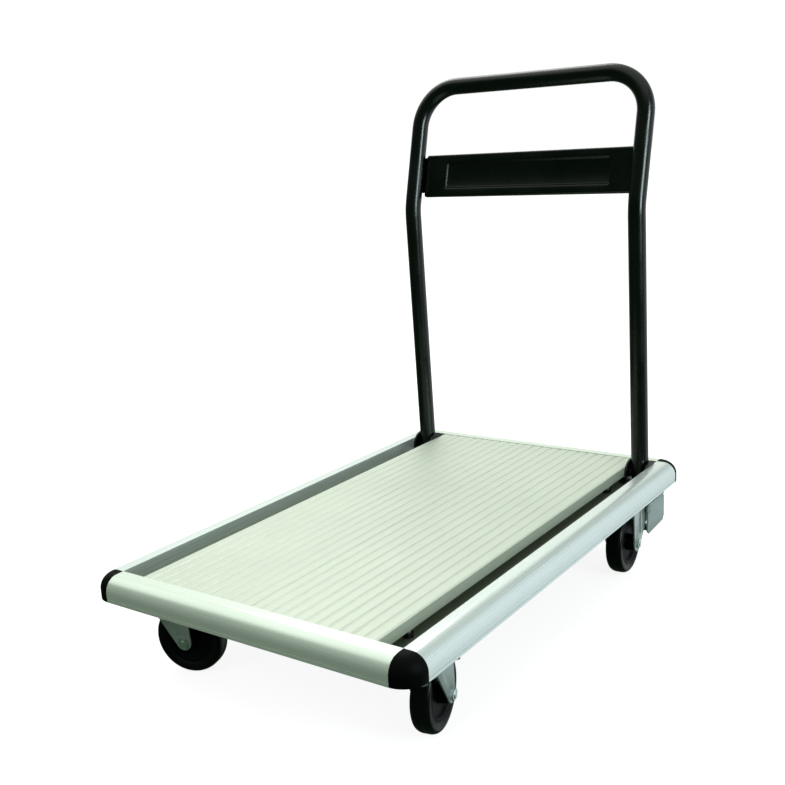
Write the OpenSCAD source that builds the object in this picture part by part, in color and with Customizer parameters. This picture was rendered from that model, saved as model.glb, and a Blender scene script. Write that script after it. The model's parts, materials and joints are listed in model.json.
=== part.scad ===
// Flatbed platform truck with a folding push handle and four swivel casters.
// Frame: +Z up, +Y towards the handle end, +X to the right, origin on the ground
// below the middle of the platform. All sizes are in millimetres.

/* [Platform] */
// Overall length of the platform, front to back
platform_l = 820; // [800:5:860]
// Overall width of the platform
platform_w = 520; // [510:5:560]
// Width of the rail profile
rail_w = 32; // [30:1:34]
// Height of the rail profile
rail_h = 32.5; // [31:0.5:34]
// Radius of the rail's rounded upper edge
nose_r = 20; // [14:1:24]
// Wall thickness of the rails
rail_wall = 2.5; // [2:0.5:3]
// Width of the channel that takes a folded handle leg
channel_w = 37; // [36:0.5:40]
// Height of the deck planks
plank_h = 16; // [14:0.5:17]
// How far the deck lies below the rails' top
deck_drop = 0.8; // [0.4:0.2:1.6]
// Number of flat ribs on each deck plank
plank_ribs = 11; // [9:1:13]

/* [Handle] */
// Outer diameter of the handle tube
tube_d = 28; // [25:0.5:28]
// Wall thickness of the handle tube
tube_wall = 1.8; // [1.2:0.2:2.4]
// Height of the handle's pivot below the rails' top
pivot_drop = 15; // [14.8:0.1:15.4]
// Distance from the rear rail's inner face to the pivot
pivot_inset = 27.5; // [26.5:0.5:28]
// Forward lean of the lower legs in degrees
lower_lean = 1.9; // [1:0.1:3]
// Length of a lower leg, from the pivot to the bend
lower_len = 440; // [400:5:460]
// Backward lean of the upper legs in degrees
upper_lean = 14.7; // [10:0.1:15]
// Length of an upper leg, from the bend to the top bar
upper_len = 213.5; // [190:0.5:215]
// Bend radius of the handle's top corners
corner_r = 68; // [50:1:80]
// Height of the panel between the legs
panel_h = 72; // [60:1:80]
// Distance from the bend up to the panel's lower edge
panel_gap = 25; // [24:1:40]

/* [Casters] */
// Height of a caster, from the ground to its mounting face
caster_h = 120; // [119:1:124]
// Wheel diameter
wheel_d = 100; // [96:1:100]
// Width of the tyre
tyre_w = 26; // [24:1:30]
// Distance of the axle from the swivel axis
trail = 50; // [48:1:51]
// Distance of the swivel axes from the centre line
caster_x = 214.4; // [212:0.2:216]
// Distance of the front swivel axes behind the platform's front edge
front_inset = 73; // [72:1:76]
// Distance of the rear swivel axes before the platform's rear edge
rear_inset = 99; // [97:1:101]
// Direction in which the front left wheel trails, in degrees
trail_fl = 15.5; // [-30:0.5:30]
// Direction in which the front right wheel trails, in degrees
trail_fr = 101.5; // [80:0.5:120]
// Direction in which the rear left wheel trails, in degrees
trail_rl = -84; // [-100:1:-80]
// Direction in which the rear right wheel trails, in degrees
trail_rr = -87; // [-100:1:-80]

/* [Hidden] */

$fn = 96;
eps = 0.5;         // how far a cutter runs past the face it cuts
gap = 0.3;         // clearance between neighbouring pieces

// Levels and main places
rail_z = caster_h;
top_z = rail_z + rail_h;
deck_z = top_z - deck_drop;
inner_x = platform_w / 2 - rail_w;
inner_y = platform_l / 2 - rail_w;
deck_x = inner_x - channel_w;
channel_x = inner_x - channel_w / 2;
under_deck_z = deck_z - plank_h;

// Colours
ALU = "#d5dbd6";
BLACK = "#15181a";
ZINC = "#a9b1ad";
STEEL = "#8d9494";
RUBBER = "#1b1b1c";

// Rails and corner caps
groove_z = 4;
groove_h = 1.2;
groove_depth = 0.9;
spigot_u = 4;
spigot_w = 15;
spigot_z = 13;
spigot_h = 13;
spigot_l = 22;
cap_screw_r = 2;
cap_screw_head_r = 4;
cap_screw_head_h = 1.8;
cap_screw_l = 20;
cap_screw_in = 11;
cap_screw_u = 11;

// Deck and floor
rib_pitch = deck_x / plank_ribs;
rib_groove_w = 7;
rib_groove_floor = 1.6;
rib_groove_h = 0.8;
plank_skin = 2.6;
plank_web = 2;
tongue_w = 4;
tongue_h = 3;
floor_t = rail_wall;
floor_in = 21;
flange_w = 2.5;
cross_w = 40;
cross_wall = 2;
cross_h = under_deck_z - rail_z - floor_t;
cross_x = deck_x - floor_in - 2.5;
cross_front_y = -330;
cross_mid_front_y = -110;
cross_mid_rear_y = 110;
cross_rear_y = 305;
cross_ys = [cross_front_y, cross_mid_front_y, cross_mid_rear_y, cross_rear_y];
deck_screw_xs = [-150, -50, 50, 150];
deck_screw_r = 2.5;
deck_screw_head_r = 4.5;
deck_screw_head_h = 2.4;

// Handle pivot
pivot_y = inner_y - pivot_inset;
pivot_z = top_z - pivot_drop;
tube_r = tube_d / 2;
bore_r = tube_r - tube_wall;
stub = 8;
cheek_t = 3;
cheek_r = 23;
cheek_in = channel_w / 2 - gap - cheek_t;
bracket_foot = 0.3;
web_t = 2;
bracket_top = deck_z - 0.7;
lid_l = 9.5;
pin_r = 5;
pin_play = 0.05;
bush_r = 7;
bush_half = cheek_in - gap;
insert_top = 14;

// Handle tube and panel
bend_r = 90;
bend_a = lower_lean + upper_lean;
bend_cut = bend_r * tan(bend_a / 2);
bend_lap = 0.5;    // how far a straight length runs into a bend
bend_slim = 0.1;   // how much slimmer the tube is in a bend
panel_y = 11;
panel_t = 1.5;
panel_flange = 9;
panel_half = channel_x - 12;
tray_half = 156;
tray_margin = 12;
tray_depth = 3;
tab_out = 7;
tab_margin = 10;
rivet_r = 2.5;
rivet_head_r = 4.5;
rivet_head_h = 2;
rivet_zs = [20, 52];

// Handle lock: a cross rod that drops into a notch in each leg
rod_r = 3.5;
rod_play = 0.5;
rod_z = pivot_z - 6.5;
rod_y = pivot_y + 20.5;
rod_travel = 8;
rod_half = channel_x + 13.5;
notch_y = pivot_y + 8;
notch_top = rod_z + rod_r + rod_play;
pull_half = 45;
pull_t = 3;
pull_z = rail_z - 6;
pull_back = inner_y + 27;
lip_h = 11;
ear_x = 42;
ear_w = 12;
spring_x = 20;
spring_r = 3.2;
spring_wire_r = 0.7;
spring_turns = 7;

// Casters
wheel_r = wheel_d / 2;
rear_y = platform_l / 2 - rear_inset;
front_y = front_inset - platform_l / 2;
plate_half_x = 39;
plate_half_y = 46;
plate_t = 4;
plate_corner = 8;
boss_r = 26.5;
boss_h = 4;
bolt_dx = 32;
bolt_dy = 34;
bolt_r = 4;
bolt_head_r = 7.2;
bolt_head_h = 5;
nut_h = 6;
bolt_top = 12;
king_r = 6;
king_head_r = 10;
king_head_h = 4;
crown_z = 103;
crown_t = 3;
crown_r = 30;
race_r = 25;
race_h = 1.8;
skirt_in = 27.2;
skirt_top = 111;
ball_r = 2;
ball_ring_r = 21;
ball_count = 20;
ball_z = caster_h - plate_t - boss_h - ball_r - 0.1;
leg_in = 21.5;
leg_t = 2.6;
leg_top = crown_z + crown_t;
// Forks: the legs' rear and front at the top, the radius of their ends, and places of ribs
front_fork = [-1, 57, 11, []];
rear_fork = [-22, 66, 13, [37]];
rib_w = 4;
rib_out = 1.2;
rib_low = 64;
rib_high = 98;
axle_r = 5;
axle_head_r = 8;
axle_head_h = 3.6;
axle_tip_r = 3.5;
axle_tip_h = 1.2;
core_r = 35;
core_half = 11;
hub_r = 12;
hub_half = leg_in - 0.4;
dish_r = 28;
dish_depth = 4;
shoulder_r = 5;

// Rear brakes
brake_pivot_t = 2;
brake_pivot_z = 88;
brake_pin_r = 3;
flange_in = 26.4;
flange_t = 2.4;
pedal_back = -70;
pedal_front = 15;
pedal_low = 52;
pedal_top = 100;
pedal_edge = 7;
shoe_back = -10;
shoe_front = -3.2;
shoe_h = 10;

// ---------------------------------------------------------------- rails

// Rail section: u runs from the inner face outwards, v up from the foot
module rail_section(inset = 0) {
    flat = rail_w - nose_r;
    side = rail_h - nose_r;
    translate([inset, inset]) square([flat - inset, rail_h - 2 * inset]);
    translate([inset, inset]) square([rail_w - 2 * inset, side - inset]);
    translate([flat, side]) intersection() {
        circle(nose_r - inset);
        square(nose_r);
    }
}

// Hollow rail along +X, its inner face on the plane y = 0 and its nose towards -Y
module rail(length) {
    rotate([90, 0, -90]) difference() {
        linear_extrude(length, center = true) difference() {
            rail_section();
            rail_section(rail_wall);
            translate([rail_w - groove_depth, groove_z]) square([groove_depth + eps, groove_h]);
        }
        children();
    }
}

// End rails also take the cap screws, which enter from below near each end
module end_rail() {
    rail(2 * inner_x)
        for (side = [-1, 1])
            translate([cap_screw_u, rail_wall / 2, side * (inner_x - cap_screw_in)])
                rotate([90, 0, 0]) cylinder(r = cap_screw_r, h = rail_wall + 2 * eps, center = true);
}

module front_rail() {
    color(ALU) translate([0, -inner_y, rail_z]) end_rail();
}

module rear_rail() {
    color(ALU) translate([0, inner_y, rail_z]) rotate([0, 0, 180]) end_rail();
}

// The side rails take the outer caster bolts through their lower wall
module side_rail(side) {
    color(ALU) difference() {
        translate([side * inner_x, 0, rail_z]) rotate([0, 0, side * 90]) rail(2 * inner_y);
        for (y = [front_y, rear_y], dy = [-bolt_dy, bolt_dy])
            translate([side * (caster_x + bolt_dx), y + dy, rail_z - eps])
                cylinder(r = bolt_r, h = rail_wall + 2 * eps);
    }
}

// Corner cap with a spigot into each of the two rails
module corner_cap(sx, sy) {
    color(BLACK) translate([sx * inner_x, sy * inner_y, rail_z])
        mirror([sx < 0 ? 1 : 0, 0, 0]) mirror([0, sy < 0 ? 1 : 0, 0]) difference() {
            union() {
                rotate_extrude(angle = 90) rail_section();
                translate([-spigot_l, spigot_u, spigot_z]) cube([spigot_l, spigot_w, spigot_h]);
                translate([spigot_u, -spigot_l, spigot_z]) cube([spigot_w, spigot_l, spigot_h]);
            }
            translate([-cap_screw_in, cap_screw_u, 0]) cylinder(r = cap_screw_r, h = cap_screw_l);
        }
}

module cap_screws() {
    color(ZINC) for (sx = [-1, 1], sy = [-1, 1])
        translate([sx * (inner_x - cap_screw_in), sy * (inner_y + cap_screw_u), rail_z]) {
            cylinder(r = cap_screw_r, h = cap_screw_l);
            translate([0, 0, -cap_screw_head_h]) cylinder(r = cap_screw_head_r, h = cap_screw_head_h);
        }
}

// ---------------------------------------------------------------- deck

module rib_groove() {
    polygon([
        [-rib_groove_w / 2, 0.2],
        [-rib_groove_floor / 2, -rib_groove_h],
        [rib_groove_floor / 2, -rib_groove_h],
        [rib_groove_w / 2, 0.2],
    ]);
}

// Plank section for the right half: x from the middle joint outwards, v down from the top
module plank_section() {
    cell = 2 * rib_pitch;
    difference() {
        translate([gap / 2, -plank_h]) square([deck_x - gap / 2, plank_h]);
        for (i = [0:plank_ribs]) translate([i * rib_pitch, 0]) rib_groove();
        for (i = [0:floor(plank_ribs / 2) - 1])
            translate([rib_pitch + i * cell + plank_web / 2, plank_skin - plank_h])
                square([cell - plank_web, plank_h - 2 * plank_skin]);
    }
}

module plank_screw_holes() {
    for (y = cross_ys, x = deck_screw_xs)
        translate([x, y, under_deck_z - eps])
            cylinder(r = deck_screw_r, h = plank_skin + 2 * eps);
}

module tongue(play) {
    translate([-play, -plank_h / 2 - tongue_h / 2 - play])
        square([tongue_w + play, tongue_h + 2 * play]);
}

module deck_plank_right() {
    color(ALU) difference() {
        translate([0, 0, deck_z]) rotate([90, 0, 0])
            linear_extrude(2 * (inner_y - eps), center = true) difference() {
                plank_section();
                tongue(gap / 2);
            }
        plank_screw_holes();
    }
}

module deck_plank_left() {
    color(ALU) difference() {
        translate([0, 0, deck_z]) rotate([90, 0, 0])
            linear_extrude(2 * (inner_y - eps), center = true) {
                mirror([1, 0]) plank_section();
                translate([-gap / 2, 0]) tongue(0);
            }
        plank_screw_holes();
    }
}

// Strip that closes the channel from below, with an upright flange under the plank
module channel_floor(side) {
    low_x = deck_x - floor_in;
    floor_l = pivot_y - cheek_r - gap + inner_y - eps;
    color(ALU) mirror([side < 0 ? 1 : 0, 0, 0]) difference() {
        union() {
            translate([low_x, -inner_y + eps, rail_z]) cube([floor_in - gap, 2 * (inner_y - eps), floor_t]);
            translate([deck_x - gap, -inner_y + eps, rail_z])
                cube([channel_w, floor_l, floor_t]);
            translate([low_x, -inner_y + eps, rail_z]) cube([flange_w, floor_l, under_deck_z - rail_z]);
        }
        for (y = [front_y, rear_y], dy = [-bolt_dy, bolt_dy])
            translate([caster_x - bolt_dx, y + dy, rail_z - eps])
                cylinder(r = bolt_r, h = floor_t + 2 * eps);
    }
}

// Rectangular tube under the planks, screwed to them from below
module cross_member(y) {
    low_z = rail_z + floor_t;
    color(STEEL) difference() {
        translate([-cross_x, y - cross_w / 2, low_z]) cube([2 * cross_x, cross_w, cross_h]);
        translate([-cross_x - eps, y - cross_w / 2 + cross_wall, low_z + cross_wall])
            cube([2 * (cross_x + eps), cross_w - 2 * cross_wall, cross_h - 2 * cross_wall]);
        for (x = deck_screw_xs)
            translate([x, y, low_z - eps]) cylinder(r = deck_screw_r, h = cross_h + 2 * eps);
    }
}

module deck_screws() {
    low_z = rail_z + floor_t;
    color(ZINC) for (y = cross_ys, x = deck_screw_xs)
        translate([x, y, low_z]) {
            cylinder(r = deck_screw_r, h = cross_h + plank_skin);
            translate([0, 0, -deck_screw_head_h])
                cylinder(r = deck_screw_head_r, h = deck_screw_head_h);
        }
}

// ---------------------------------------------------------------- handle pivot

// One cheek: a half-round head over the pivot, a straight foot and a rear part up to the deck
module cheek() {
    foot_z = rail_z + bracket_foot;
    rotate([90, 0, 90]) linear_extrude(cheek_t) difference() {
        union() {
            translate([pivot_y, pivot_z]) circle(cheek_r);
            translate([pivot_y - cheek_r, foot_z]) square([2 * cheek_r, pivot_z - foot_z]);
            translate([pivot_y, foot_z]) square([inner_y - gap - pivot_y, bracket_top - foot_z]);
        }
        translate([pivot_y, pivot_z]) circle(pin_r);
        translate([pivot_y - cheek_r, foot_z - cheek_r]) square([2 * cheek_r, cheek_r]);
    }
}

// Black bracket that fills the rear end of the channel, open at the front for the leg
module pivot_bracket(side) {
    slot_low = rod_z - rod_r - rod_play;
    slot_front = rod_y - rod_travel - rod_r - rod_play;
    color(BLACK) mirror([side < 0 ? 1 : 0, 0, 0]) difference() {
        union() {
            translate([channel_x - cheek_in - cheek_t, 0, 0]) cheek();
            translate([channel_x + cheek_in, 0, 0]) cheek();
            translate([channel_x - cheek_in - eps, inner_y - gap - web_t, rail_z + bracket_foot])
                cube([2 * (cheek_in + eps), web_t, bracket_top - rail_z - bracket_foot]);
            translate([channel_x - cheek_in - eps, inner_y - gap - lid_l, bracket_top - web_t])
                cube([2 * (cheek_in + eps), lid_l, web_t]);
        }
        translate([channel_x - cheek_in - cheek_t - eps, slot_front, slot_low])
            cube([cheek_t + 2 * eps, rod_travel + 2 * (rod_r + rod_play), 2 * (rod_r + rod_play)]);
    }
}

module pivot_pin(side) {
    half = cheek_in + cheek_t;
    color(ZINC) translate([side * channel_x, pivot_y, pivot_z]) rotate([0, 90, 0])
        cylinder(r = pin_r, h = 2 * half, center = true);
}

module pivot_bush(side) {
    color(BLACK) translate([side * channel_x, pivot_y, pivot_z]) rotate([0, 90, 0])
        difference() {
            cylinder(r = bush_r, h = 2 * bush_half, center = true);
            cylinder(r = pin_r + pin_play, h = 2 * bush_half + eps, center = true);
        }
}

// What the pivot and the lock take out of a leg's lower end
module leg_end_cuts(side) {
    translate([side * channel_x, pivot_y, pivot_z]) rotate([0, 90, 0])
        cylinder(r = bush_r, h = 2 * tube_d, center = true);
    translate([side * channel_x - tube_d, notch_y, pivot_z - tube_d])
        cube([2 * tube_d, tube_d, notch_top - pivot_z + tube_d]);
}

// Solid insert that closes and stiffens a leg's lower end
module leg_insert(side) {
    color(BLACK) difference() {
        translate([side * channel_x, pivot_y, pivot_z]) rotate([lower_lean, 0, 0])
            translate([0, 0, -stub]) cylinder(r = bore_r, h = stub + insert_top);
        leg_end_cuts(side);
    }
}

// ---------------------------------------------------------------- handle

// Places its children at the bend of the legs, +Z along the upper legs
module at_bend() {
    translate([0, pivot_y, pivot_z]) rotate([lower_lean, 0, 0]) translate([0, 0, lower_len])
        rotate([-bend_a, 0, 0]) children();
}

// One leg of radius r, from below the pivot to the end of the top corner
module leg(r, below) {
    translate([channel_x, pivot_y, pivot_z]) rotate([lower_lean, 0, 0]) {
        translate([0, 0, -below]) cylinder(r = r, h = below + lower_len - bend_cut + bend_lap);
        translate([0, bend_r, lower_len - bend_cut]) rotate([90, 0, -90])
            rotate_extrude(angle = bend_a) translate([bend_r, 0]) circle(r - bend_slim);
    }
    at_bend() translate([channel_x, 0, 0]) {
        translate([0, 0, bend_cut - bend_lap])
            cylinder(r = r, h = upper_len - corner_r - bend_cut + 2 * bend_lap);
        translate([-corner_r, 0, upper_len - corner_r]) rotate([90, 0, 0])
            rotate_extrude(angle = 90) translate([corner_r, 0]) circle(r - bend_slim);
    }
}

// The whole U of radius r
module tube_run(r, below) {
    leg(r, below);
    mirror([1, 0, 0]) leg(r, below);
    at_bend() translate([0, 0, upper_len]) rotate([0, 90, 0])
        cylinder(r = r, h = 2 * (channel_x - corner_r + bend_lap), center = true);
}

module handle_tube() {
    color(BLACK) difference() {
        tube_run(tube_r, stub);
        tube_run(bore_r, stub + eps);
        leg_end_cuts(-1);
        leg_end_cuts(1);
    }
}

// Pressed panel behind the upper legs: a recessed tray, folded edges and end tabs
module handle_panel() {
    tray_low = panel_gap + tray_margin;
    tray_h = panel_h - 2 * tray_margin;
    color(BLACK) at_bend() difference() {
        union() {
            translate([-panel_half, panel_y, panel_gap]) cube([2 * panel_half, panel_t, panel_h]);
            for (z = [panel_gap, panel_gap + panel_h - panel_t])
                translate([-panel_half, panel_y, z]) cube([2 * panel_half, panel_flange, panel_t]);
            translate([-tray_half - panel_t, panel_y, tray_low - panel_t])
                cube([2 * (tray_half + panel_t), tray_depth + panel_t, tray_h + 2 * panel_t]);
            for (side = [-1, 1]) {
                end_x = side * panel_half - (side > 0 ? panel_t : 0);
                translate([end_x, panel_y, panel_gap + tab_margin])
                    cube([panel_t, tube_r - panel_y + panel_t, panel_h - 2 * tab_margin]);
                translate([side > 0 ? panel_half - panel_t : -channel_x - tab_out, tube_r,
                           panel_gap + tab_margin])
                    cube([channel_x + tab_out - panel_half + panel_t, panel_t,
                          panel_h - 2 * tab_margin]);
            }
        }
        translate([-tray_half, panel_y - eps, tray_low]) cube([2 * tray_half, tray_depth + eps, tray_h]);
        rivet_run(rivet_r);
    }
}

// Shanks of the four rivets that hold the panel's tabs to the legs
module rivet_run(r) {
    for (side = [-1, 1], z = rivet_zs)
        translate([side * channel_x, tube_r + panel_t, panel_gap + z]) rotate([90, 0, 0])
            cylinder(r = r, h = panel_t);
}

module panel_rivets() {
    color(ZINC) at_bend() {
        rivet_run(rivet_r);
        for (side = [-1, 1], z = rivet_zs)
            translate([side * channel_x, tube_r + panel_t, panel_gap + z]) rotate([-90, 0, 0])
                cylinder(r = rivet_head_r, h = rivet_head_h);
    }
}

// ---------------------------------------------------------------- handle lock

module lock_rod() {
    color(ZINC) translate([0, rod_y, rod_z]) rotate([0, 90, 0])
        cylinder(r = rod_r, h = 2 * rod_half, center = true);
}

// Bent plate under the rear rail that draws the rod back out of the legs
module release_pull() {
    plate_front = rod_y - rod_r - 2;
    color(BLACK) difference() {
        union() {
            translate([-pull_half, plate_front, pull_z])
                cube([2 * pull_half, pull_back - plate_front, pull_t]);
            translate([-pull_half, pull_back - pull_t, pull_z + pull_t - lip_h])
                cube([2 * pull_half, pull_t, lip_h]);
            for (side = [-1, 1])
                translate([side * ear_x - pull_t / 2, plate_front, pull_z])
                    cube([pull_t, ear_w, under_deck_z - gap - pull_z]);
        }
        translate([0, rod_y, rod_z]) rotate([0, 90, 0])
            cylinder(r = rod_r, h = 2 * pull_half, center = true);
    }
}

// Two extension springs between the rear cross member and the rod
module lock_springs() {
    front = cross_rear_y + cross_w / 2;
    length = rod_y - rod_r - front - 2 * spring_wire_r;
    color(STEEL) for (side = [-1, 1])
        translate([side * spring_x, front + spring_wire_r, rod_z]) rotate([-90, 0, 0])
            linear_extrude(length, twist = 360 * spring_turns, slices = 10 * spring_turns, $fn = 6)
                translate([spring_r, 0]) circle(spring_wire_r);
}

// ---------------------------------------------------------------- casters

// Puts its children at a corner's swivel axis: +X along the trail, z = 0 on the ground
module at_caster(corner) {
    x = corner[0] == "l" ? -caster_x : caster_x;
    translate([x, corner[1], 0]) rotate([0, 0, corner[2]]) children();
}

FL = ["l", front_y, trail_fl];
FR = ["r", front_y, trail_fr];
RL = ["l", rear_y, trail_rl];
RR = ["r", rear_y, trail_rr];
CORNERS = [FL, FR, RL, RR];

// Same, but square to the platform
module at_mount(corner) {
    at_caster([corner[0], corner[1], 0]) children();
}

module bolt_places() {
    for (dx = [-bolt_dx, bolt_dx], dy = [-bolt_dy, bolt_dy]) translate([dx, dy, 0]) children();
}

module caster_plate(corner) {
    low = caster_h - plate_t;
    color(ZINC) at_mount(corner) difference() {
        union() {
            translate([-plate_half_x + plate_corner, -plate_half_y, low])
                cube([2 * (plate_half_x - plate_corner), 2 * plate_half_y, plate_t]);
            translate([-plate_half_x, -plate_half_y + plate_corner, low])
                cube([2 * plate_half_x, 2 * (plate_half_y - plate_corner), plate_t]);
            for (dx = [-1, 1], dy = [-1, 1])
                translate([dx * (plate_half_x - plate_corner), dy * (plate_half_y - plate_corner), low])
                    cylinder(r = plate_corner, h = plate_t);
            translate([0, 0, low - boss_h]) cylinder(r = boss_r, h = boss_h);
        }
        bolt_places() translate([0, 0, low - eps]) cylinder(r = bolt_r, h = plate_t + 2 * eps);
        translate([0, 0, low - boss_h - eps]) cylinder(r = king_r, h = plate_t + boss_h + 2 * eps);
    }
}

module caster_bolts() {
    low = caster_h - plate_t;
    color(ZINC) for (corner = CORNERS) at_mount(corner) bolt_places() {
        translate([0, 0, low]) cylinder(r = bolt_r, h = plate_t + bolt_top);
        translate([0, 0, low - bolt_head_h]) cylinder(r = bolt_head_r, h = bolt_head_h, $fn = 6);
    }
}

// Nuts stand on the side rail's lower wall outside and on the floor strip inside
module caster_nuts() {
    color(BLACK) for (corner = CORNERS) at_mount(corner) bolt_places()
        translate([0, 0, rail_z + floor_t]) difference() {
            cylinder(r = bolt_head_r, h = nut_h, $fn = 6);
            translate([0, 0, -eps]) cylinder(r = bolt_r, h = nut_h + 2 * eps);
        }
}

module kingpins() {
    low = crown_z - king_head_h - gap;
    color(STEEL) for (corner = CORNERS) at_mount(corner) {
        translate([0, 0, low]) cylinder(r = king_r, h = caster_h - low);
        translate([0, 0, low]) cylinder(r = king_head_r, h = king_head_h);
    }
}

module swivel_balls() {
    color(STEEL) for (corner = CORNERS) at_mount(corner)
        for (i = [0:ball_count - 1]) rotate([0, 0, i * 360 / ball_count])
            translate([ball_ring_r, 0, ball_z]) sphere(ball_r, $fn = 24);
}

// Side view of a fork leg: t along the trail, v up; the rear edge is tangent to the round end
module leg_outline(back, front, end_r) {
    centre = [trail, wheel_r];
    away = [back - centre[0], leg_top - centre[1]];
    bearing = atan2(away[1], away[0]) + acos(end_r / norm(away));
    touch = centre + end_r * [cos(bearing), sin(bearing)];
    polygon([
        [back, leg_top],
        touch,
        centre,
        [trail + end_r, wheel_r],
        [front, leg_top],
    ]);
    translate(centre) circle(end_r);
}

// Pressed rib on the outside of a fork leg
module leg_rib(t) {
    translate([t - rib_w / 2, rib_low]) square([rib_w, rib_high - rib_low]);
    translate([t, rib_low]) circle(rib_w / 2);
    translate([t, rib_high]) circle(rib_w / 2);
}

module fork(corner, form, has_brake) {
    color(ZINC) at_caster(corner) difference() {
        union() {
            for (side = [0, 1]) mirror([0, side, 0]) {
                translate([0, leg_in + leg_t, 0]) rotate([90, 0, 0])
                    linear_extrude(leg_t) leg_outline(form[0], form[1], form[2]);
                for (t = form[3])
                    translate([0, leg_in + leg_t + rib_out, 0]) rotate([90, 0, 0])
                        linear_extrude(rib_out + 0.2) leg_rib(t);
            }
            translate([form[0], -leg_in - leg_t, crown_z])
                cube([trail - form[0], 2 * (leg_in + leg_t), crown_t]);
            translate([0, 0, crown_z]) cylinder(r = crown_r, h = crown_t);
            translate([0, 0, crown_z]) cylinder(r = race_r, h = crown_t + race_h);
            translate([0, 0, crown_z]) difference() {
                cylinder(r = crown_r, h = skirt_top - crown_z);
                translate([0, 0, crown_t]) cylinder(r = skirt_in, h = skirt_top - crown_z);
            }
        }
        translate([0, 0, crown_z - eps])
            cylinder(r = king_r + pin_play, h = crown_t + race_h + 2 * eps);
        translate([trail, 0, wheel_r]) rotate([90, 0, 0])
            cylinder(r = axle_r, h = 4 * leg_in, center = true);
        if (has_brake) brake_axis() cylinder(r = brake_pin_r, h = 4 * leg_in, center = true);
    }
}

module axle(corner) {
    reach = leg_in + leg_t;
    color(ZINC) at_caster(corner) translate([trail, 0, wheel_r]) rotate([90, 0, 0]) {
        cylinder(r = axle_r, h = 2 * (reach + axle_head_h), center = true);
        for (end = [0, 1]) mirror([0, 0, end]) translate([0, 0, reach]) {
            cylinder(r = axle_head_r, h = axle_head_h, $fn = 6);
            translate([0, 0, axle_head_h]) cylinder(r1 = axle_r, r2 = axle_tip_r, h = axle_tip_h);
        }
    }
}

// Moulded core with a dished face on each side
module wheel_core(corner) {
    color(RUBBER) at_caster(corner) translate([trail, 0, wheel_r]) rotate([90, 0, 0])
        rotate_extrude() polygon([
            [axle_r + pin_play, -hub_half],
            [hub_r, -hub_half],
            [hub_r + 1.5, -core_half + dish_depth],
            [dish_r, -core_half + dish_depth],
            [dish_r + 3, -core_half],
            [core_r, -core_half],
            [core_r, core_half],
            [dish_r + 3, core_half],
            [dish_r, core_half - dish_depth],
            [hub_r + 1.5, core_half - dish_depth],
            [hub_r, hub_half],
            [axle_r + pin_play, hub_half],
        ]);
}

module tyre(corner) {
    half = tyre_w / 2;
    color(RUBBER) at_caster(corner) translate([trail, 0, wheel_r]) rotate([90, 0, 0])
        rotate_extrude() {
            translate([core_r, -half]) square([wheel_r - shoulder_r - core_r, tyre_w]);
            translate([core_r, shoulder_r - half])
                square([wheel_r - core_r, tyre_w - 2 * shoulder_r]);
            for (v = [shoulder_r - half, half - shoulder_r])
                translate([wheel_r - shoulder_r, v]) circle(shoulder_r);
        }
}

module brake_axis() {
    translate([brake_pivot_t, 0, brake_pivot_z]) rotate([90, 0, 0]) children();
}

module pedal_outline() {
    polygon([
        [pedal_front, pedal_top],
        [pedal_front, pedal_low + pedal_edge],
        [pedal_front - pedal_edge, pedal_low],
        [pedal_back + pedal_edge, pedal_low],
        [pedal_back, pedal_low + pedal_edge],
        [pedal_back, pedal_top - pedal_edge],
        [pedal_back + pedal_edge, pedal_top],
    ]);
}

// Foot pedal that straddles the fork and presses a cross bar on the tyre
module brake_pedal(corner) {
    span = 2 * (flange_in + flange_t);
    color(ZINC) at_caster(corner) difference() {
        union() {
            for (y = [-flange_in, flange_in + flange_t])
                translate([0, y, 0]) rotate([90, 0, 0]) linear_extrude(flange_t) pedal_outline();
            translate([pedal_back + pedal_edge, -span / 2, pedal_top - flange_t])
                cube([crown_r - pedal_edge, span, flange_t]);
            translate([pedal_back, -span / 2, pedal_low + pedal_edge])
                cube([flange_t, span, pedal_top - pedal_low - 2 * pedal_edge]);
            translate([shoe_back, -span / 2, pedal_low])
                cube([shoe_front - shoe_back, span, shoe_h]);
        }
        brake_axis() cylinder(r = brake_pin_r + pin_play, h = 2 * span, center = true);
    }
}

module brake_pin(corner) {
    reach = flange_in + flange_t + 1;
    color(ZINC) at_caster(corner) brake_axis() cylinder(r = brake_pin_r, h = 2 * reach, center = true);
}

// ---------------------------------------------------------------- assembly

front_rail();
rear_rail();
side_rail(-1);  // side_rail_left
side_rail(1);  // side_rail_right
corner_cap(-1, -1);  // corner_cap_front_left
corner_cap(1, -1);  // corner_cap_front_right
corner_cap(-1, 1);  // corner_cap_rear_left
corner_cap(1, 1);  // corner_cap_rear_right
cap_screws();
deck_plank_left();
deck_plank_right();
channel_floor(-1);  // channel_floor_left
channel_floor(1);  // channel_floor_right
cross_member(cross_front_y);  // cross_member_front
cross_member(cross_mid_front_y);  // cross_member_mid_front
cross_member(cross_mid_rear_y);  // cross_member_mid_rear
cross_member(cross_rear_y);  // cross_member_rear
deck_screws();
pivot_bracket(-1);  // pivot_bracket_left
pivot_bracket(1);  // pivot_bracket_right
pivot_pin(-1);  // pivot_pin_left
pivot_pin(1);  // pivot_pin_right
lock_rod();
release_pull();
lock_springs();
handle_tube();
handle_panel();
panel_rivets();
leg_insert(-1);  // leg_insert_left
leg_insert(1);  // leg_insert_right
pivot_bush(-1);  // pivot_bush_left
pivot_bush(1);  // pivot_bush_right
caster_plate(FL);  // caster_plate_fl
caster_plate(FR);  // caster_plate_fr
caster_plate(RL);  // caster_plate_rl
caster_plate(RR);  // caster_plate_rr
caster_bolts();
caster_nuts();
kingpins();
swivel_balls();
fork(FL, front_fork, false);  // fork_fl
fork(FR, front_fork, false);  // fork_fr
fork(RL, rear_fork, true);  // fork_rl
fork(RR, rear_fork, true);  // fork_rr
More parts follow.
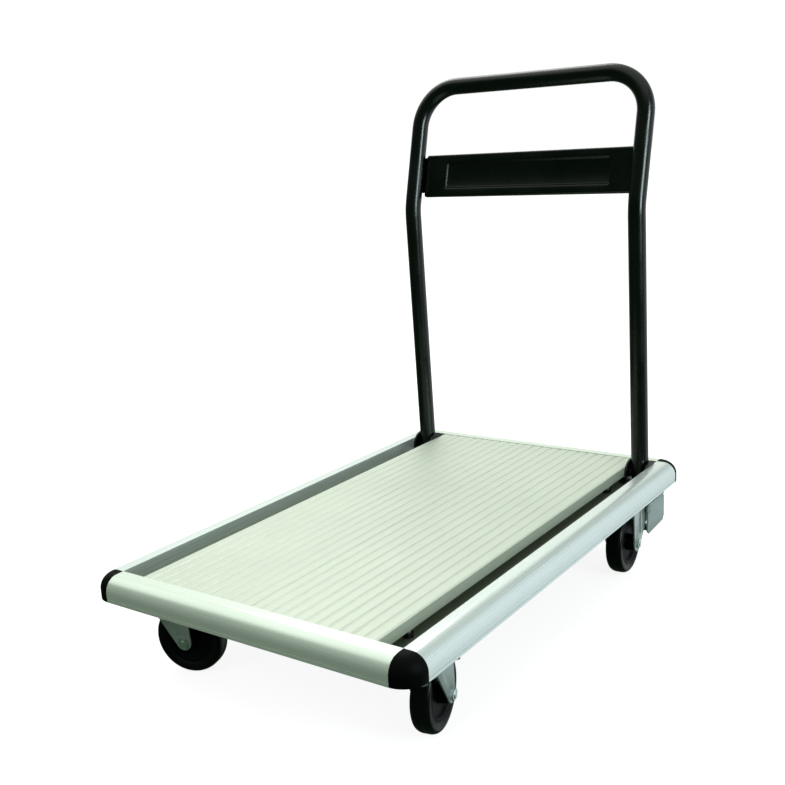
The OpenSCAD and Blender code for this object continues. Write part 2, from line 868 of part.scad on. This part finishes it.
axle(FL);  // axle_fl
axle(FR);  // axle_fr
axle(RL);  // axle_rl
axle(RR);  // axle_rr
wheel_core(FL);  // wheel_core_fl
wheel_core(FR);  // wheel_core_fr
wheel_core(RL);  // wheel_core_rl
wheel_core(RR);  // wheel_core_rr
tyre(FL);  // tyre_fl
tyre(FR);  // tyre_fr
tyre(RL);  // tyre_rl
tyre(RR);  // tyre_rr
brake_pedal(RL);  // brake_pedal_rl
brake_pedal(RR);  // brake_pedal_rr
brake_pin(RL);  // brake_pin_rl
brake_pin(RR);  // brake_pin_rr
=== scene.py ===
"""Looks of the folding platform truck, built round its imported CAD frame.

Lengths are in metres, in the row frame: +Z is up and +Y runs towards the handle end.
"""

import json
import math

import bmesh
import bpy
from mathutils import Matrix, Vector


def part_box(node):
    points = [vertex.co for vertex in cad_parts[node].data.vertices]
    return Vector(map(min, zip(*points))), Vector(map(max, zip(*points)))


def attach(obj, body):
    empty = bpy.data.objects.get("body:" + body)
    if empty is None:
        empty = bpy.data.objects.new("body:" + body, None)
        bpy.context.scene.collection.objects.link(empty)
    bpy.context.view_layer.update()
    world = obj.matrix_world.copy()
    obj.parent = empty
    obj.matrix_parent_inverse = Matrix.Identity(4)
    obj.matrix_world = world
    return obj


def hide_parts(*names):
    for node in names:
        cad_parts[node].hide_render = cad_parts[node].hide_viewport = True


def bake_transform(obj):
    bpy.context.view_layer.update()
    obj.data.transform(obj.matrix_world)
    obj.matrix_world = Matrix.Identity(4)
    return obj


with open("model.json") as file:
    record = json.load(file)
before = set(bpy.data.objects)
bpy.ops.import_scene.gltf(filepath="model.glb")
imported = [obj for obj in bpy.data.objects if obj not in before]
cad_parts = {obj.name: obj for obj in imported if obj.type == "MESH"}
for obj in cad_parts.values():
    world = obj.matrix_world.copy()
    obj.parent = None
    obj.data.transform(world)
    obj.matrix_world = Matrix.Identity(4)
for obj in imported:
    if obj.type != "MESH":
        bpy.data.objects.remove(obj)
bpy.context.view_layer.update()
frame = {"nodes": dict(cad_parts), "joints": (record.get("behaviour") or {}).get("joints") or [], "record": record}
nodes = frame["nodes"]

# ---------------------------------------------------------------- camera

CAMERA_AT = (0.8390, -1.2300, 0.6895)
CAMERA_TURN = math.radians(35.46)
CAMERA_DOWN = math.radians(13.32)
CAMERA_ROLL = math.radians(-3.16)
# In millimetres, as Blender counts them
SENSOR = 36.0
LENS = 47.77


def make_camera():
    turn, down, roll = CAMERA_TURN, CAMERA_DOWN, CAMERA_ROLL
    ahead = Vector((-math.sin(turn) * math.cos(down), math.cos(turn) * math.cos(down), -math.sin(down)))
    right = Vector((math.cos(turn), math.sin(turn), 0))
    up = right.cross(ahead)
    x = right * math.cos(roll) + up * math.sin(roll)
    y = up * math.cos(roll) - right * math.sin(roll)
    data = bpy.data.cameras.new("camera")
    data.sensor_width, data.lens = SENSOR, LENS
    camera = bpy.data.objects.new("camera", data)
    camera.matrix_world = Matrix.Translation(CAMERA_AT) @ Matrix((x, y, -ahead)).transposed().to_4x4()
    bpy.context.scene.collection.objects.link(camera)
    bpy.context.scene.camera = camera


make_camera()

# ---------------------------------------------------------------- node trees

WHITE = (1.0, 1.0, 1.0, 1.0)


class Graph:
    """A shader node tree, built with short calls."""

    def __init__(self, tree, coords):
        self.tree = tree
        self.coords = self.add("ShaderNodeTexCoord").outputs[coords]

    def add(self, kind, inputs=None, **settings):
        node = self.tree.nodes.new(kind)
        for key, value in settings.items():
            setattr(node, key, value)
        for key, value in (inputs or {}).items():
            self.put(node.inputs[key], value)
        return node

    def put(self, socket, value):
        if isinstance(value, bpy.types.NodeSocket):
            self.tree.links.new(value, socket)
        else:
            socket.default_value = value

    def ramp(self, value, low, high, to_low=0.0, to_high=1.0, **settings):
        """Maps low to to_low and high to to_high, and stays level beyond them."""
        ends = {"From Min": low, "From Max": high, "To Min": to_low, "To Max": to_high}
        return self.add("ShaderNodeMapRange", {"Value": value, **ends}, **settings).outputs[0]

    def blend(self, factor, a, b):
        made = self.add("ShaderNodeMix", data_type="RGBA")
        for key, value in {"Factor": factor, "A": a, "B": b}.items():
            self.put(made.inputs[key], value)
        return made.outputs["Result"]


class Finish(Graph):
    """A material's node tree, in the coordinates of the object that wears it."""

    def __init__(self, name):
        self.material = bpy.data.materials.new(name)
        self.material.use_nodes = True
        self.shader = self.material.node_tree.nodes["Principled BSDF"]
        super().__init__(self.material.node_tree, "Object")

    def noise(self, vector, scale=1.0, detail=3.0, rough=0.5):
        inputs = {"Vector": vector, "Scale": scale, "Detail": detail, "Roughness": rough}
        return self.add("ShaderNodeTexNoise", inputs).outputs["Fac"]

    def streaks(self, axis, across, along, detail, rough):
        """Noise in streaks along an axis: across and along say how often it changes in a metre."""
        scale = [across] * 3
        scale["XYZ".index(axis)] = along
        stretched = self.add("ShaderNodeMapping", {"Vector": self.coords, "Scale": scale}).outputs[0]
        return self.noise(stretched, detail=detail, rough=rough)

    def up_to(self, value, most):
        """A value between 0 and 1, turned down to between 0 and most."""
        return self.ramp(value, 0.0, 1.0, 0.0, most)

    def math_node(self, operation, *values):
        return self.add("ShaderNodeMath", dict(enumerate(values)), operation=operation).outputs[0]

    def bump(self, height, distance, strength):
        inputs = {"Height": height, "Distance": distance, "Strength": strength}
        return self.add("ShaderNodeBump", inputs).outputs["Normal"]

    def finish(self, **inputs):
        for key, value in inputs.items():
            self.put(self.shader.inputs[key.replace("_", " ")], value)
        return self.material


# ---------------------------------------------------------------- materials


def rgba(colour):
    return (*colour, 1.0)


def shade(colour, factor):
    return rgba([min(1.0, c * factor) for c in colour])


# The ribbed planks: how far apart their grooves are, and how far the painted shade in a groove reaches from its
# middle
PLANK_WIDTH, PLANK_RIBS = 0.191, 11
RIB_PITCH = PLANK_WIDTH / PLANK_RIBS
GROOVE_HALF = 0.0030

# How each mark on an aluminium extrusion shades the metal's own colour
CLOUD_DARK, CLOUD_LIGHT = 0.96, 1.03
DIE_LINE_SHADE = 0.965
RUBBED_SHADE = 0.92
# Painted shade: how dark the deck's grooves are painted
PAINTED_GROOVE_SHADE = 0.89
DIE_LINE_DEPTH = 0.00002


def groove_painted_shade(g, pitch):
    """How much painted shade lies at each place, darkening the grooves as shade would: none between the grooves,
    and a varying amount in them.
    """
    across = g.add("ShaderNodeSeparateXYZ", {"Vector": g.coords}).outputs["X"]
    from_groove = g.math_node("PINGPONG", across, pitch / 2)
    in_groove = g.ramp(from_groove, 0.0, GROOVE_HALF, to_low=1.0, to_high=0.0)
    streak_amount = g.ramp(g.streaks("Y", across=60.0, along=5.0, detail=4.0, rough=0.6), 0.25, 0.75, to_low=0.5)
    return g.math_node("MULTIPLY", in_groove, streak_amount)


def anodised(name, colour, axis, roughness=0.29, metallic=0.58, pitch=None):
    """Extruded aluminium: die lines along the profile, clouds, rubbed marks, and painted shade in any grooves."""
    g = Finish(name)
    lines = g.streaks(axis, across=1400.0, along=3.0, detail=4.0, rough=0.6)
    clouds = g.noise(g.coords, scale=7.0)
    rubbed = g.ramp(g.streaks(axis, across=260.0, along=9.0, detail=5.0, rough=0.7), 0.60, 0.72)
    base = g.blend(g.ramp(clouds, 0.3, 0.7), shade(colour, CLOUD_DARK), shade(colour, CLOUD_LIGHT))
    base = g.blend(g.ramp(lines, 0.35, 0.65, to_high=0.5), base, shade(colour, DIE_LINE_SHADE))
    base = g.blend(g.up_to(rubbed, 0.18), base, shade(colour, RUBBED_SHADE))
    if pitch:
        # Painted shade: the grooves are darkened in the colour itself
        base = g.blend(groove_painted_shade(g, pitch), base, shade(colour, PAINTED_GROOVE_SHADE))
    rough = g.ramp(lines, 0.3, 0.7, roughness - 0.03, roughness + 0.04)
    normal = g.bump(lines, DIE_LINE_DEPTH, strength=0.3)
    return g.finish(Base_Color=base, Roughness=rough, Metallic=metallic, Normal=normal)


DUSTY_COAT_SHADE = 1.7
SCUFF_COLOUR = (0.03, 0.033, 0.031, 1.0)
ORANGE_PEEL_DEPTH = 0.00006


def powder_coat(name, colour, roughness, specular=0.30):
    """Black powder coat: a fine orange peel, dust in patches and small scuffs."""
    g = Finish(name)
    peel = g.noise(g.coords, scale=620.0, detail=2.0)
    patches = g.noise(g.coords, scale=18.0, detail=4.0)
    scuffs = g.ramp(g.streaks("Z", across=90.0, along=420.0, detail=6.0, rough=0.75), 0.66, 0.74)
    dusty = shade(colour, DUSTY_COAT_SHADE)
    base = g.blend(g.ramp(patches, 0.35, 0.75, to_high=0.6), rgba(colour), dusty)
    base = g.blend(g.up_to(scuffs, 0.25), base, SCUFF_COLOUR)
    rough = g.ramp(patches, 0.3, 0.7, roughness - 0.04, roughness + 0.08)
    normal = g.bump(peel, ORANGE_PEEL_DEPTH, strength=0.08)
    return g.finish(Base_Color=base, Roughness=rough, Normal=normal, Specular_IOR_Level=specular)


ZINC_DARK_SHADE = 0.86
ZINC_COOL_TINT = (0.98, 1.04, 1.08)
SPANGLE_SHADE = 1.2
ZINC_GRAIN_DEPTH = 0.00005


def zinc_plate(name, colour, roughness=0.30, metallic=0.62):
    """Zinc on pressed steel: darker and cooler patches under a faint spangle, and a fine grain."""
    g = Finish(name)
    cells = g.add("ShaderNodeTexVoronoi", {"Vector": g.coords, "Scale": 260.0, "Randomness": 1.0})
    spangle = g.add("ShaderNodeSeparateColor", {"Color": cells.outputs["Color"]}).outputs["Red"]
    grain = g.noise(g.coords, scale=900.0, rough=0.6)
    clouds = g.noise(g.coords, scale=34.0, detail=4.0)
    cool = rgba([c * tint for c, tint in zip(colour, ZINC_COOL_TINT)])
    base = g.blend(g.ramp(clouds, 0.35, 0.65), shade(colour, ZINC_DARK_SHADE), cool)
    base = g.blend(g.up_to(spangle, 0.22), base, shade(colour, SPANGLE_SHADE))
    rough = g.ramp(clouds, 0.3, 0.7, roughness - 0.06, roughness + 0.10)
    normal = g.bump(grain, ZINC_GRAIN_DEPTH, strength=0.4)
    return g.finish(Base_Color=base, Roughness=rough, Metallic=metallic, Normal=normal)


# Dust lightens a moulding's own colour by a factor and then by an amount
DUST_FACTOR, DUST_ADDED = 1.5, 0.003


def moulded(name, colour, grain, depth, roughness, specular=0.25):
    """Moulded plastic or rubber: a fine eroded grain of the given scale and depth, with dust in patches."""
    g = Finish(name)
    eroded = g.noise(g.coords, scale=grain, rough=0.6)
    dust = g.noise(g.coords, scale=26.0, detail=5.0, rough=0.65)
    dusty = rgba([c * DUST_FACTOR + DUST_ADDED for c in colour])
    base = g.blend(g.ramp(dust, 0.45, 0.8, to_high=0.5), rgba(colour), dusty)
    rough = g.ramp(dust, 0.3, 0.75, roughness - 0.05, roughness + 0.12)
    normal = g.bump(eroded, depth, strength=0.6)
    return g.finish(Base_Color=base, Roughness=rough, Normal=normal, Specular_IOR_Level=specular)


MATERIALS = {
    "aluminium_rail_x": anodised("rail_along_x", (0.775, 0.86, 0.765), "X"),
    "aluminium_rail_y": anodised("rail_along_y", (0.80, 0.87, 0.85), "Y", metallic=0.72),
    "aluminium_deck": anodised(
        "deck_extrusion", (0.58, 0.63, 0.54), "Y", roughness=0.50, metallic=0.45, pitch=RIB_PITCH),
    # Painted shade: the floor strip's colour is made dark to stand in for the shade down in the channels
    "aluminium_strip": anodised("floor_strip", (0.31, 0.34, 0.27), "Y", roughness=0.50, metallic=0.80),
    "black_paint": powder_coat(
        "black_powder_coat", (0.0006, 0.0018, 0.0011), roughness=0.25, specular=0.44),
    "black_sheet": powder_coat(
        "black_sheet_coat", (0.0004, 0.0016, 0.0007), roughness=0.26, specular=0.35),
    "black_oxide": powder_coat("black_oxide", (0.006, 0.006, 0.006), roughness=0.50),
    "zinc": zinc_plate("zinc_plate", (0.50, 0.56, 0.53)),
    "zinc_aged": zinc_plate("aged_zinc_plate", (0.36, 0.43, 0.40), roughness=0.38),
    "zinc_bright": zinc_plate("bright_zinc_plate", (0.74, 0.79, 0.78), roughness=0.20, metallic=0.95),
    "bare_steel": zinc_plate("plain_steel", (0.34, 0.36, 0.35), roughness=0.42),
    "cap_plastic": moulded(
        "cap_plastic", (0.0016, 0.0018, 0.0018), grain=1100.0, depth=0.00012, roughness=0.50, specular=0.04),
    "hub_plastic": moulded(
        "hub_plastic", (0.0015, 0.002, 0.002), grain=700.0, depth=0.00010, roughness=0.40, specular=0.06),
    "tyre_rubber": moulded(
        "tyre_rubber", (0.0018, 0.0024, 0.0024), grain=520.0, depth=0.00012, roughness=0.30, specular=0.15),
    "insert_plastic": moulded(
        "insert_plastic", (0.012, 0.012, 0.012), grain=900.0, depth=0.00010, roughness=0.45),
}

# Nodes that look different from the rest of their slot, by the start of their name
VARIANTS = {
    "front_rail": "aluminium_rail_x", "rear_rail": "aluminium_rail_x", "side_rail_": "aluminium_rail_y",
    "handle_panel": "black_sheet", "brake_pedal_": "zinc_aged", "axle_": "zinc_bright",
    "cap_screws": "zinc_bright", "deck_screws": "zinc_bright", "caster_bolts": "zinc_bright",
    "panel_rivets": "zinc_bright",
}
slot_of = {part["node"]: part["material_slot"] for part in frame["record"]["subparts"]}


def material_of(node):
    looks = [look for start, look in VARIANTS.items() if node.startswith(start)]
    return MATERIALS[looks[0] if looks else slot_of[node]]


for node in slot_of:
    nodes[node].data.materials.clear()
    nodes[node].data.materials.append(material_of(node))

# ---------------------------------------------------------------- pieces

body_of = {part: body for body, parts in frame["record"]["behaviour"]["bodies"].items() for part in parts}


def stand_in(name, shape, node):
    """Turns a bmesh into the piece that stands for one CAD node, with that node's finish."""
    mesh = bpy.data.meshes.new(name)
    shape.to_mesh(mesh)
    shape.free()
    mesh.materials.append(material_of(node))
    for polygon in mesh.polygons:
        polygon.use_smooth = True
    piece = bpy.data.objects.new(name, mesh)
    bpy.context.scene.collection.objects.link(piece)
    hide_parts(node)
    return piece


def new_piece(name, shape, node):
    """A stand-in that rides on its node's own body."""
    piece = stand_in(name, shape, node)
    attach(piece, body_of[node])
    return piece


def soft_edges(piece, width, angle, segments=2):
    """Rounds every edge whose faces meet at more than the angle."""
    bevel = piece.modifiers.new("edges", "BEVEL")
    bevel.width, bevel.segments = width, segments
    bevel.limit_method, bevel.angle_limit = "ANGLE", angle
    bevel.use_clamp_overlap, bevel.harden_normals = True, True


def steps(low, high, count):
    return [low + (high - low) * i / count for i in range(count + 1)]


# Nodes copied with eased edges, by the start of their name, and how wide the easing is
EASED = {
    "fork_": 0.0004, "caster_plate_": 0.0005, "brake_pedal_": 0.0005, "pivot_bracket_": 0.0005,
    "corner_cap_": 0.0007, "wheel_core_": 0.0006, "release_pull": 0.0005,
}
WELD = 2e-6
FLAT_ANGLE = math.radians(0.5)
SHARP_ANGLE = math.radians(32.0)


def eased_copy(node, width):
    """The CAD node's own shape with its sharp edges eased, as pressing, casting or sawing leaves them."""
    shape = bmesh.new()
    shape.from_mesh(nodes[node].data)
    bmesh.ops.remove_doubles(shape, verts=shape.verts, dist=WELD)
    bmesh.ops.dissolve_limit(shape, angle_limit=FLAT_ANGLE, verts=shape.verts, edges=shape.edges)
    soft_edges(new_piece(node + "_eased", shape, node), width, SHARP_ANGLE)


# The handle: its pivot, the lean of its lower and upper legs, and the lower legs' length
PIVOT = (0.0, 0.3505, 0.1375)
LOWER_LEAN = math.radians(1.9)
UPPER_LEAN = math.radians(-14.7)
LOWER_LENGTH = 0.440
# The upper legs' frame: its origin is on the axis of the bends, and +Z runs up along the legs
at_bend = (Matrix.Translation(PIVOT) @ Matrix.Rotation(LOWER_LEAN, 4, "X")
           @ Matrix.Translation((0, 0, LOWER_LENGTH)) @ Matrix.Rotation(UPPER_LEAN - LOWER_LEAN, 4, "X"))


def folded(way, flat, radius, depth, outward=False):
    """Where a distance along a blank ends up, sideways and backwards, once the blank is folded.

    The blank stays flat at first and then turns back; at the given depth it may turn outward again.
    """
    arc = radius * math.pi / 2
    if way <= flat:
        return way, 0.0
    if way <= flat + arc:
        turn = (way - flat) / radius
        return flat + radius * math.sin(turn), radius * (1 - math.cos(turn))
    down = depth - (2 * radius if outward else radius)
    if way <= flat + arc + down:
        return flat + radius, radius + way - flat - arc
    turn = min((way - flat - arc - down) / radius, math.pi / 2)
    past = max(0.0, way - flat - 2 * arc - down)
    return flat + 2 * radius - radius * math.cos(turn) + past, radius + down + radius * math.sin(turn)


def eased_step(value, low, high):
    t = min(1.0, max(0.0, (value - low) / (high - low)))
    return t * t * (3 - 2 * t)


def both_sides(values, digits=7):
    """The values and their mirror images, in order and without repeats."""
    rounded = {round(value, digits) for value in values}
    return sorted(rounded | {-value for value in rounded})


def panel_sheet():
    """The pressed panel: one sheet with a recessed field, two folded edges and an end tab behind each leg."""
    thick, fold = 0.0015, 0.0025
    half, height, low, front = 0.1975, 0.072, 0.025, 0.011
    field_half, field_margin, field_depth, slope = 0.156, 0.0115, 0.0042, 0.0055
    tab_top, tab_foot, tab_depth, tab_out = 0.003, 0.0065, 0.0045, 0.0165
    flange, edge_strip, field_rim = 0.0085, 0.005, 0.010
    fold_steps, slope_steps, field_steps = 5, 6, 20
    softness, soft_angle, hair = 0.0003, math.radians(60.0), 1e-6

    # The blank is a grid: its lines lie at distances u across and v up from the panel's middle
    arc = fold * math.pi / 2
    flat_x, flat_z = half - fold, height / 2 - fold
    field_high = height / 2 - field_margin
    tab_fold = flat_x + arc + tab_depth - 2 * fold
    us = both_sides([
        *steps(0.0, field_half - field_rim, field_steps), *steps(field_half - slope, field_half, slope_steps),
        *steps(flat_x, flat_x + arc, fold_steps), *steps(tab_fold, tab_fold + arc, fold_steps),
        tab_fold + arc + tab_out])
    vs = both_sides([
        0.0, *steps(field_high - slope, field_high, slope_steps),
        *steps(flat_z - edge_strip, flat_z, slope_steps), *steps(flat_z, flat_z + arc, fold_steps),
        flat_z + arc + flange - fold])
    vs = sorted({*vs, height / 2 - tab_top, tab_foot - height / 2})

    mesh = bmesh.new()
    grid = {}
    for i, u in enumerate(us):
        x, back_x = folded(abs(u), flat_x, fold, tab_depth, outward=True)
        into = 1 - eased_step(abs(u), field_half - slope, field_half)
        for j, v in enumerate(vs):
            z, back_z = folded(abs(v), flat_z, fold, flange)
            field = into * (1 - eased_step(abs(v), field_high - slope, field_high))
            y = front + thick / 2 + back_x + back_z + field_depth * field
            grid[i, j] = mesh.verts.new((math.copysign(x, u), y, low + height / 2 + math.copysign(z, v)))
    for i in range(len(us) - 1):
        for j in range(len(vs) - 1):
            in_tab = max(abs(us[i]), abs(us[i + 1])) > flat_x + hair
            above_tab = vs[j + 1] > height / 2 - tab_top + hair
            below_tab = vs[j] < tab_foot - height / 2 - hair
            if not (in_tab and (above_tab or below_tab)):
                mesh.faces.new([grid[i, j], grid[i + 1, j], grid[i + 1, j + 1], grid[i, j + 1]])
    bmesh.ops.delete(mesh, geom=[v for v in mesh.verts if not v.link_faces], context="VERTS")
    mesh.transform(at_bend)
    piece = new_piece("handle_panel_sheet", mesh, "handle_panel")
    sheet = piece.modifiers.new("sheet", "SOLIDIFY")
    sheet.thickness, sheet.offset = thick, 0.0
    soft_edges(piece, softness, soft_angle)


def lathe(outline, axis_at, axis, around=128):
    """Turns a closed outline of (radius, along) points round an axis."""
    turn = Vector((0, 0, 1)).rotation_difference(Vector(axis)).to_matrix()
    mesh = bmesh.new()
    rings = []
    for i in range(around):
        angle = 2 * math.pi * i / around
        spoke = Vector((math.cos(angle), math.sin(angle), 0))
        places = [Vector(axis_at) + turn @ (spoke * r + Vector((0, 0, z))) for r, z in outline]
        rings.append([mesh.verts.new(place) for place in places])
    for a, b in zip(rings, rings[1:] + rings[:1]):
        for j in range(len(outline)):
            k = (j + 1) % len(outline)
            mesh.faces.new([a[j], b[j], b[k], a[k]])
    bmesh.ops.recalc_face_normals(mesh, faces=mesh.faces)
    return mesh


def rounded_tyre(joint):
    """A tyre with round shoulders, a step at the foot of each side and a thin parting line on the tread."""
    wheel_r, core_r, half = 0.050, 0.035, 0.013
    crown_r, crown_w, crown_steps = 0.0060, 0.0095, 10
    # The side's step: how far each point lies out from the core, and in from the tyre's side face
    foot = [(0.0, 0.0020), (0.0040, 0.0016), (0.0052, 0.0003)]
    # The parting line: how far each point lies in from the tread, and to the side of its middle
    parting = [(0.0, 0.0009), (0.0003, 0.0003)]
    side = [(core_r + out, half - inward) for out, inward in foot]
    side += [(wheel_r - crown_r + crown_r * math.sin(a), half - crown_w + crown_w * math.cos(a))
             for a in steps(0.0, math.pi / 2, crown_steps)]
    side += [(wheel_r - inward, aside) for inward, aside in parting]
    outline = side + [(r, -z) for r, z in reversed(side)]
    node = joint["child"].replace("wheel", "tyre")
    new_piece(node + "_round", lathe(outline, joint["pos_m"], joint["axis"]), node)


def wound_springs():
    """The two lock springs as round wire."""
    node = "lock_springs"
    turns, per_turn, sides, wire_r = 7, 24, 10, 0.0007
    low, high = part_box(node)
    coil_r = (high.z - low.z) / 2 - wire_r
    side_x, mid_z = high.x - wire_r - coil_r, (low.z + high.z) / 2
    start, end = low.y + wire_r, high.y - wire_r
    rise = (end - start) / (2 * math.pi * turns * coil_r)
    mesh = bmesh.new()
    for side in (-1, 1):
        rings = []
        for share in steps(0.0, 1.0, turns * per_turn):
            angle = 2 * math.pi * turns * share
            spoke = Vector((math.cos(angle), 0, math.sin(angle)))
            along = Vector((-math.sin(angle), rise, math.cos(angle))).normalized()
            across = along.cross(spoke)
            middle = Vector((side * side_x, start + (end - start) * share, mid_z)) + spoke * coil_r
            rings.append([mesh.verts.new(middle + (spoke * math.cos(t) + across * math.sin(t)) * wire_r)
                          for t in steps(0.0, 2 * math.pi, sides)[:-1]])
        for a, b in zip(rings, rings[1:]):
            for j in range(sides):
                k = (j + 1) % sides
                mesh.faces.new([a[j], a[k], b[k], b[j]])
        mesh.faces.new(rings[0])
        mesh.faces.new(rings[-1])
    bmesh.ops.recalc_face_normals(mesh, faces=mesh.faces)
    piece = stand_in("lock_springs_wound", mesh, node)
    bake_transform(piece)


for node in sorted(nodes):
    for start, width in EASED.items():
        if node.startswith(start):
            eased_copy(node, width)
panel_sheet()
wound_springs()
for joint in frame["joints"]:
    if joint["name"].startswith("wheel_"):
        rounded_tyre(joint)

# ---------------------------------------------------------------- floor and light

FLOOR_HALF = 40.0
FLOOR_COLOUR = (0.30, 0.30, 0.30, 1.0)
# How strongly the floor glows near the truck, and between which distances this grows to full white
FLOOR_GLOW = 0.88
FLOOR_NEAR, FLOOR_FAR = 0.7, 1.7
WORLD_FLOOR = (0.046, 0.082, 0.048, 1.0)
# Direction, where its light begins and is full (as the cosine of the angle to it), and its colour
WORLD_LIGHTS = [
    ((0, 0, 1), 0.50, 0.85, (0.74, 0.80, 0.73, 1.0)),
    ((-0.62, 0.0, 0.78), 0.80, 0.97, (1.06, 1.13, 1.05, 1.0)),
    ((-0.57, 0.80, 0.22), 0.70, 0.94, (0.81, 0.86, 0.79, 1.0)),
    ((0.60, 0.78, -0.05), 0.60, 0.97, (0.80, 0.88, 0.90, 1.0)),
]
SIDE_COLOUR = (0.80, 0.95, 0.97)


def make_floor():
    """A white floor: it glows evenly far away and takes soft shadows near the truck."""
    far = FLOOR_HALF
    mesh = bpy.data.meshes.new("floor")
    mesh.from_pydata([(-far, -far, 0), (far, -far, 0), (far, far, 0), (-far, far, 0)], [], [(0, 1, 2, 3)])
    floor = bpy.data.objects.new("floor", mesh)
    bpy.context.scene.collection.objects.link(floor)
    g = Finish("studio_floor")
    reach = g.add("ShaderNodeVectorMath", {0: g.coords}, operation="LENGTH").outputs["Value"]
    mesh.materials.append(g.finish(
        Base_Color=FLOOR_COLOUR, Roughness=1.0, Specular_IOR_Level=0.0, Emission_Color=WHITE,
        Emission_Strength=g.ramp(reach, FLOOR_NEAR, FLOOR_FAR, to_low=FLOOR_GLOW)))
    floor.visible_diffuse = False
    floor.visible_glossy = False


def make_world():
    """White to the camera. To everything else a dark floor, and above it a dome with brighter patches."""
    world = bpy.data.worlds.new("studio")
    bpy.context.scene.world = world
    world.use_nodes = True
    g = Graph(world.node_tree, "Generated")
    colour = WORLD_FLOOR
    for direction, begins, full, light in WORLD_LIGHTS:
        towards = {0: g.coords, 1: Vector(direction).normalized()}
        facing = g.add("ShaderNodeVectorMath", towards, operation="DOT_PRODUCT").outputs["Value"]
        colour = g.blend(g.ramp(facing, begins, full, interpolation_type="SMOOTHSTEP"), colour, light)
    around = world.node_tree.nodes["Background"]
    g.put(around.inputs["Color"], colour)
    backdrop = g.add("ShaderNodeBackground", {"Color": WHITE})
    seen = g.add("ShaderNodeLightPath").outputs["Is Camera Ray"]
    choose = g.add("ShaderNodeMixShader", {0: seen, 1: around.outputs[0], 2: backdrop.outputs[0]})
    g.put(world.node_tree.nodes["World Output"].inputs["Surface"], choose.outputs[0])


def soft_box(name, at, aim, size, watts, colour=(1.0, 1.0, 1.0), mirrored=False, scattered=True):
    """A soft light. Only a mirrored one shows in gloss, and only a scattered one lights matt surfaces."""
    data = bpy.data.lights.new(name, "AREA")
    data.shape, data.size, data.size_y = "RECTANGLE", size[0], size[1]
    data.energy, data.color = watts, colour
    light = bpy.data.objects.new(name, data)
    light.location = at
    light.rotation_euler = (Vector(aim) - Vector(at)).to_track_quat("-Z", "Y").to_euler()
    light.visible_camera, light.visible_glossy, light.visible_diffuse = False, mirrored, scattered
    bpy.context.scene.collection.objects.link(light)


make_floor()
make_world()
soft_box("top_box", at=(-0.3, 0.1, 2.3), aim=(0, 0, 0.1), size=(2.2, 2.2), watts=23)
soft_box("back_box", at=(-1.25, 1.50, 2.45), aim=(0, 0.1, 0.3), size=(1.3, 1.3), watts=17, mirrored=True)
soft_box("front_box", at=(-0.6, -3.0, 1.5), aim=(0, -0.3, 0.1), size=(3.0, 2.0), watts=34)
soft_box("side_box", at=(2.9, -0.42, 1.30), aim=(0, 0.3, 0.6), size=(0.85, 1.5), watts=34,
         colour=SIDE_COLOUR, mirrored=True)
soft_box("glint_box", at=(2.9, -0.50, 1.25), aim=(0, 0.3, 0.6), size=(0.5, 1.7), watts=36,
         colour=SIDE_COLOUR, mirrored=True, scattered=False)
bpy.context.scene.view_settings.view_transform = "Standard"
bpy.context.scene.view_settings.look = "None"
